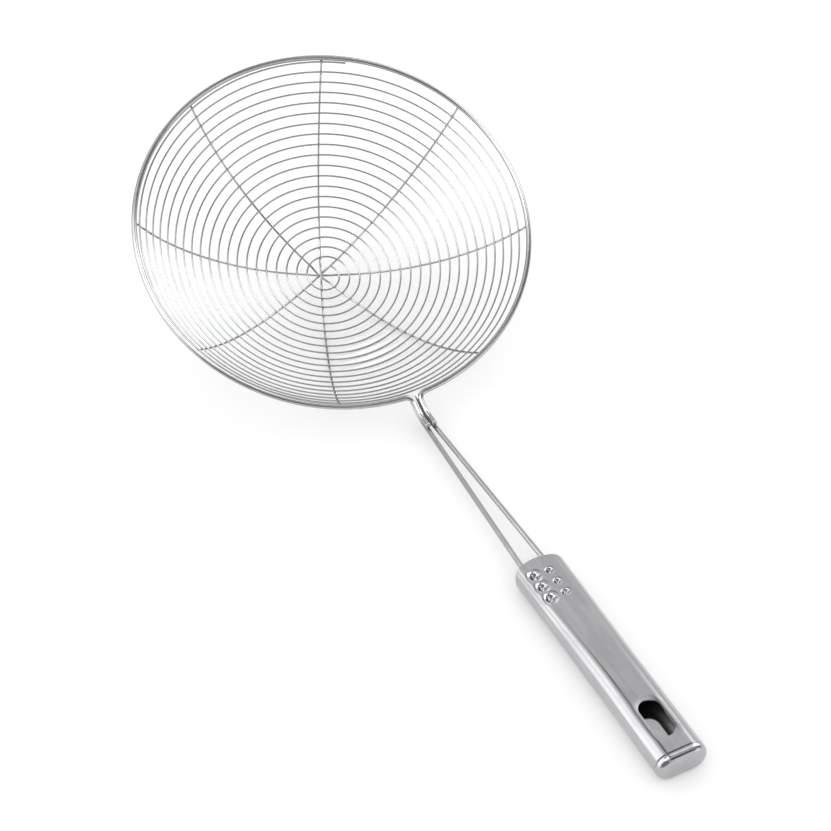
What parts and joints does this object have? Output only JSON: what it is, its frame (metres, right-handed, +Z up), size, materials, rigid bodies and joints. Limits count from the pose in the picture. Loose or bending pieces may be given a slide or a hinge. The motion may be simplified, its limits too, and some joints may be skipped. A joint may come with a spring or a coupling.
{
  "type": "spider skimmer",
  "caption": "Spider skimmer: a shallow spiral-wound wire basket on a wire hoop, a slim two-rod wire neck and a flat-oval tube handle with a hang slot.",
  "frame": {"origin": "on the table under the middle of the object's bounding box; the skimmer lies at rest on it", "axes": "+X along the handle from the basket to the capped end, +Z up out of the table, +Y across, so the basket's open side faces up and towards +X"},
  "size_m": [0.417, 0.2, 0.1118],
  "materials": {
    "wire_steel": "bright drawn wire",
    "handle_steel": "satin stainless",
    "cap_steel": "satin stainless"
  },
  "bodies": {
    "root": {"basket_winding": "wire_steel", "handle_end_cap": "cap_steel", "handle_shell": "handle_steel", "neck_rods": "wire_steel", "rib_wire_1": "wire_steel", "rib_wire_2": "wire_steel", "rib_wire_3": "wire_steel", "rib_wire_4": "wire_steel", "rim_hoop": "wire_steel"}
  },
  "joints": []
}
